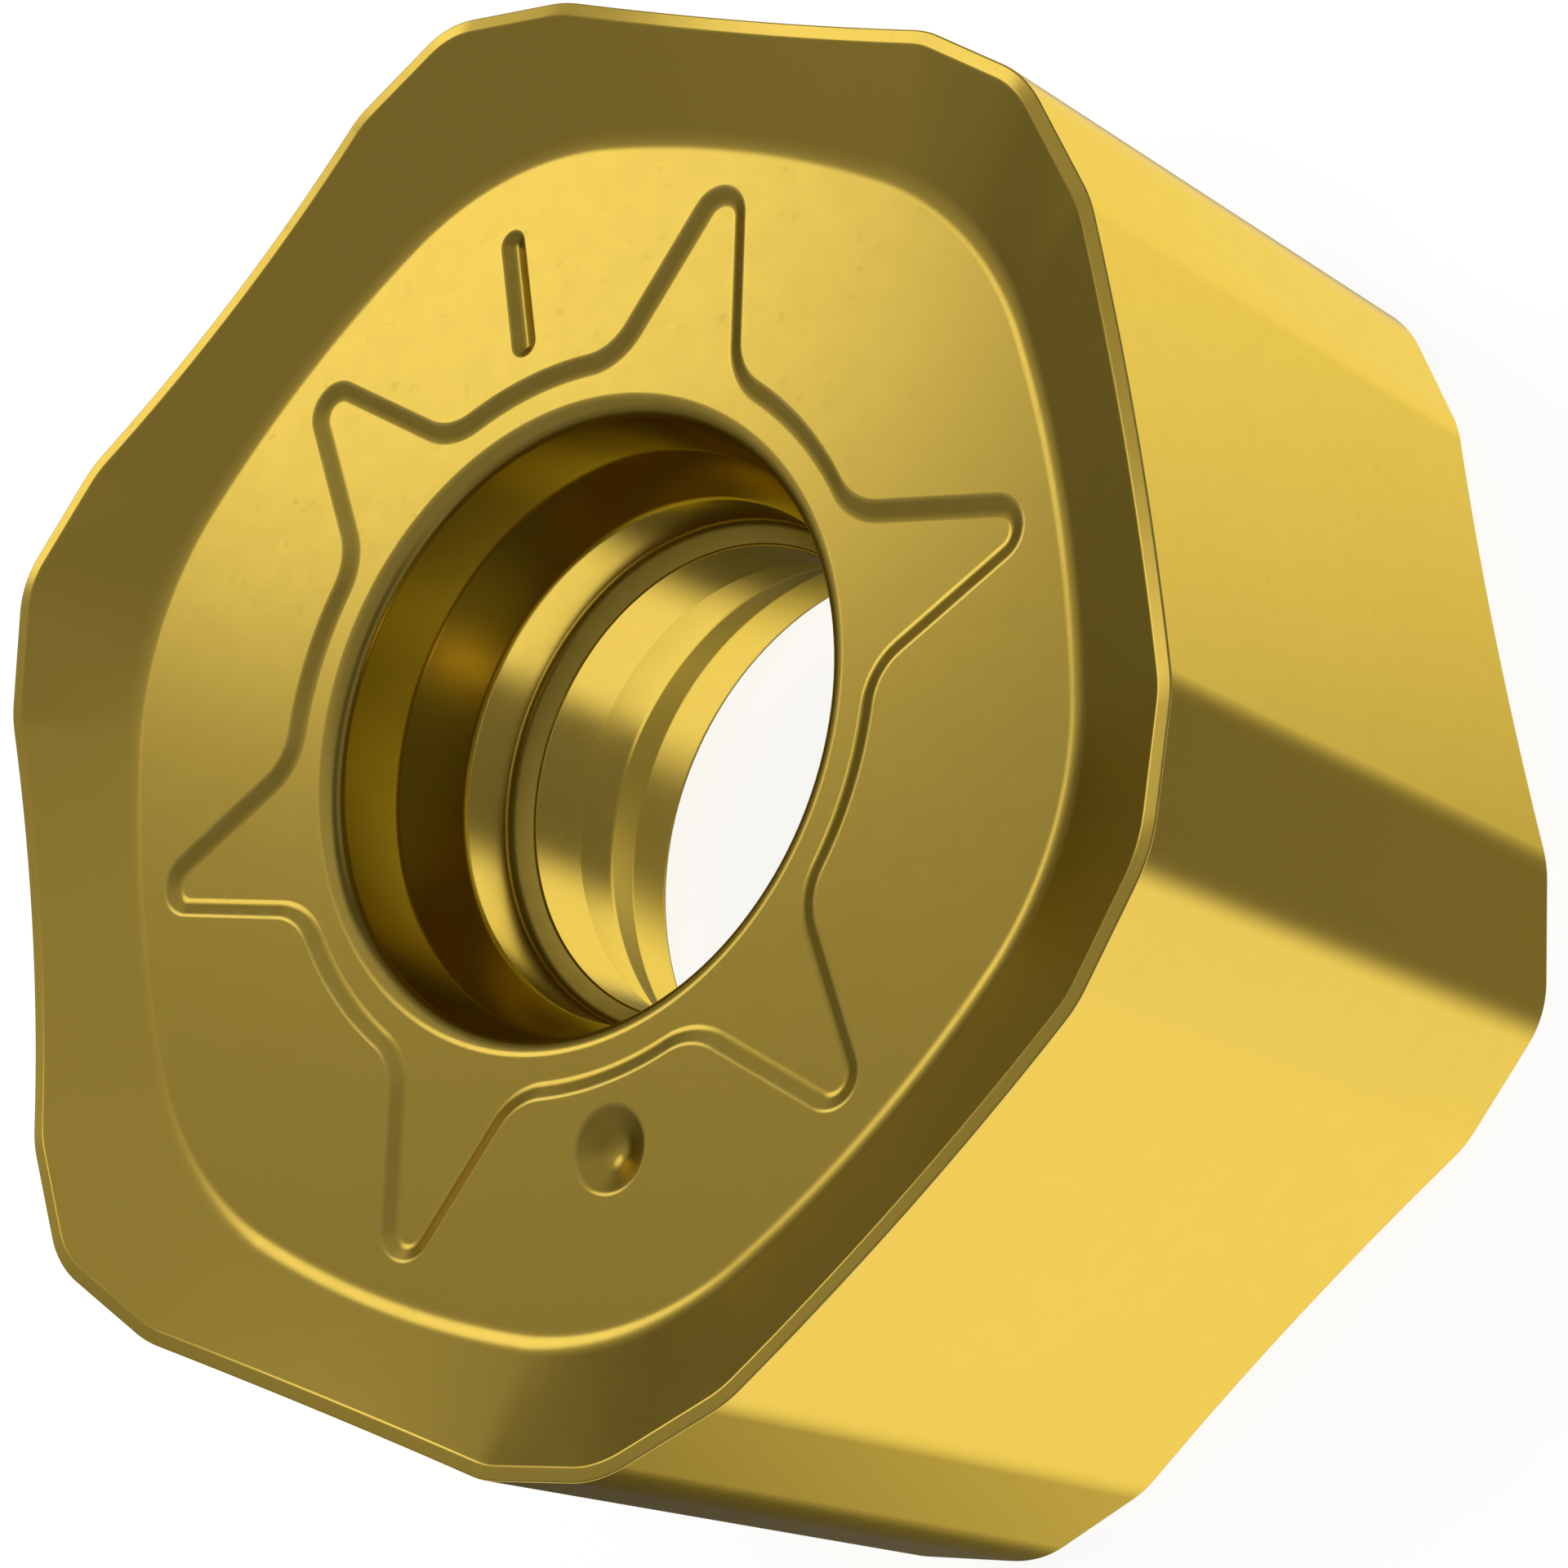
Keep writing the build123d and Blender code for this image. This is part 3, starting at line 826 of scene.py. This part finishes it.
def studio_world(look):
    """What the metal reflects: a dim room, two pale panels low down, and a pale floor further out."""
    world = bpy.data.worlds.new("studio_room")
    world.use_nodes = True
    tree = world.node_tree
    towards = node(tree, "ShaderNodeTexCoord").outputs["Generated"]
    way = node(tree, "ShaderNodeSeparateXYZ", Vector=towards).outputs

    high = maths(tree, "MULTIPLY", smooth_step(tree, way[2], 0.2, 0.6), look.sky_high)
    back = maths(tree, "MULTIPLY", smooth_step(tree, way[1], -0.1, 0.5), smooth_step(tree, way[2], 0.2, 0.5))
    back = maths(tree, "MULTIPLY", back, look.sky_back)
    above = maths(tree, "ADD", maths(tree, "ADD", high, back), look.sky_low * 0.4)
    open_side = maths(tree, "MAXIMUM", smooth_step(tree, way[0], 0.1, 0.5, 1.0, 0.0),
                      smooth_step(tree, way[2], 0.6, 0.8))
    above = maths(tree, "MULTIPLY", above, open_side)
    above = maths(tree, "ADD", above, look.sky_low * 0.6)
    glow = maths(tree, "MULTIPLY", smooth_step(tree, dot(tree, way[0], way[1], GLOW_FACING), 0.2, 0.7),
                 smooth_step(tree, way[2], 0.26, 0.46, 1.0, 0.0))
    above = maths(tree, "ADD", above, maths(tree, "MULTIPLY", glow, look.sky_glow))

    drop = maths(tree, "MAXIMUM", maths(tree, "MULTIPLY", way[2], -1.0), 0.02)
    across, along = maths(tree, "DIVIDE", way[0], drop), maths(tree, "DIVIDE", way[1], drop)
    reach = maths(tree, "SQRT", maths(tree, "ADD", maths(tree, "MULTIPLY", across, across),
                                      maths(tree, "MULTIPLY", along, along)))
    near = maths(tree, "MAXIMUM", panel(tree, across, along, FRONT_PANEL),
                 panel(tree, across, along, BACK_PANEL))
    dim = maths(tree, "ADD", smooth_step(tree, reach, 0.4, 1.0, 0.21, 0.15),
                smooth_step(tree, across, -0.9, -0.3, -0.08, 0.0))
    shaded = maths(tree, "DIVIDE", dot(tree, across, along, SHADED_FACING), reach)
    far = smooth_step(tree, shaded, 0.3, 0.9, 0.9, 0.3)
    far = maths(tree, "MULTIPLY", far, smooth_step(tree, reach, 6.0, 14.0, 1.0, 0.4))
    panels = node(tree, "ShaderNodeMix", _0=smooth_step(tree, reach, 1.2, 1.6), _2=near, _3=far).outputs[0]
    lift = maths(tree, "SUBTRACT", look.panel_strength, dim)
    below = maths(tree, "ADD", maths(tree, "MULTIPLY", panels, lift), dim)

    level = smooth_step(tree, way[2], -0.05, 0.0)
    strength = node(tree, "ShaderNodeMix", _0=level, _2=below, _3=above).outputs[0]
    depth = node(tree, "ShaderNodeLightPath").outputs["Glossy Depth"]
    again = maths(tree, "SUBTRACT", depth, 1.0, clamp=True)
    later = maths(tree, "SUBTRACT", depth, 2.0, clamp=True)
    ground = tree.nodes["Background"]
    tint = mixed(tree, again, (1, 1, 1, 1), tuple(look.second_colour))
    tint = mixed(tree, later, tint, tuple(look.third_colour))
    tree.links.new(tint, ground.inputs["Color"])
    tree.links.new(strength, ground.inputs["Strength"])
    return world


KEY_DISTANCE = 0.30                 # metres from the insert
KEY_RADIUS = KEY_DISTANCE * tan(radians(9.6))
ROOM_DISTANCE = 0.34
ROOM_RADIUS = 0.10
# The lamps overhead: name, plan direction and height in degrees, and brightness.
ROOM_LAMPS = (("room_left", 150, 55, 2.6), ("room_right", 20, 50, 1.6), ("room_front", -80, 50, 1.6))

# The photograph's camera, solved from the insert's outline: lens in millimetres for a frame 36 mm wide,
# place in millimetres, and turn.
CAMERA_LENS = 95.781
CAMERA_PLACE = (25.91458, -18.60211, 40.05880)
CAMERA_TURN = ((0.7840345, 0.3235405, 0.5297276), (-0.1169992, 0.9151447, -0.3857737),
               (-0.6095909, 0.2404821, 0.7553591))


def lamp(name, bearing, height, distance, radius, strength, target, in_gloss=True):
    """A round softbox whose face has the given brightness, turned to the target."""
    light = bpy.data.lights.new(name, "AREA")
    light.shape = "DISK"
    light.size = 2 * radius
    light.energy = strength * pi * (pi * radius ** 2)
    made = bpy.data.objects.new(name, light)
    bpy.context.scene.collection.objects.link(made)
    out = Vector((cos(bearing) * cos(height), sin(bearing) * cos(height), sin(height)))
    made.location = Vector(target) + out * distance
    made.rotation_euler = out.to_track_quat("Z", "Y").to_euler()
    made.visible_camera = False
    made.visible_glossy = in_gloss
    return made


class INSERT_OT_body(bpy.types.Operator):
    """Build the coated insert."""

    bl_idname = "insert.body"
    bl_label = "Insert"

    def execute(self, context):
        part = context.scene.carbide_insert
        shape = whole_insert(Millimetres(part.form), Millimetres(part.bore), Millimetres(part.seat))
        piece = bpy.data.objects.new("coated_insert", shape.mesh("coated_insert"))
        context.scene.collection.objects.link(piece)
        piece.data.materials.append(coating_material(part.coating))
        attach(piece, "root")
        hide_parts("insert")
        return {"FINISHED"}


class INSERT_OT_stage(bpy.types.Operator):
    """Lay the floor, set the lamps and place the camera."""

    bl_idname = "insert.stage"
    bl_label = "Stage"

    def execute(self, context):
        look = context.scene.carbide_insert.stage
        scene = context.scene
        bpy.ops.mesh.primitive_circle_add(vertices=96, radius=look.floor_size / 2, fill_type="NGON")
        floor = context.object
        floor.name = "studio_floor"
        floor.data.materials.append(floor_material(look))
        floor.visible_glossy = False

        middle = (0, 0, cad_high[2] / 2)
        lamp("key_softbox", look.key_bearing, look.key_height, KEY_DISTANCE, KEY_RADIUS, look.key_strength,
             middle)
        for name, bearing, height, strength in ROOM_LAMPS:
            lamp(name, radians(bearing), radians(height), ROOM_DISTANCE, ROOM_RADIUS,
                 strength * look.room_strength, middle, in_gloss=False)
        scene.world = studio_world(look)

        camera = bpy.data.objects.new("photo_camera", bpy.data.cameras.new("photo_camera"))
        scene.collection.objects.link(camera)
        camera.data.lens = CAMERA_LENS
        camera.data.clip_start = 0.001
        place = Matrix.Translation(Vector(CAMERA_PLACE) * MM)
        camera.matrix_world = place @ Matrix(CAMERA_TURN).to_4x4()
        scene.camera = camera
        scene.view_settings.view_transform = "Standard"
        return {"FINISHED"}


class INSERT_PT_panel(bpy.types.Panel):
    """Lists the pieces and their sizes."""

    bl_idname = "INSERT_PT_panel"
    bl_label = "Carbide insert"
    bl_space_type = "VIEW_3D"
    bl_region_type = "UI"
    bl_category = "Insert"

    def draw(self, context):
        part = context.scene.carbide_insert
        for operator, groups in ((INSERT_OT_body, (part.form, part.bore, part.seat, part.coating)),
                                 (INSERT_OT_stage, (part.stage,))):
            self.layout.operator(operator.bl_idname)
            for settings in groups:
                box = self.layout.box()
                for name in settings.__annotations__:
                    box.prop(settings, name)


CLASSES = (InsertForm, BoreForm, SeatForm, CoatingLook, StageLook, InsertScene,
           INSERT_OT_body, INSERT_OT_stage, INSERT_PT_panel)


def register():
    """Registers the classes and the scene's settings."""
    for kind in CLASSES:
        bpy.utils.register_class(kind)
    bpy.types.Scene.carbide_insert = PointerProperty(type=InsertScene)


def unregister():
    """Takes the settings and the classes away again."""
    del bpy.types.Scene.carbide_insert
    for kind in reversed(CLASSES):
        bpy.utils.unregister_class(kind)


def main():
    """Builds everything in order."""
    register()
    bpy.ops.insert.body()
    bpy.ops.insert.stage()


if __name__ == "__main__":
    main()
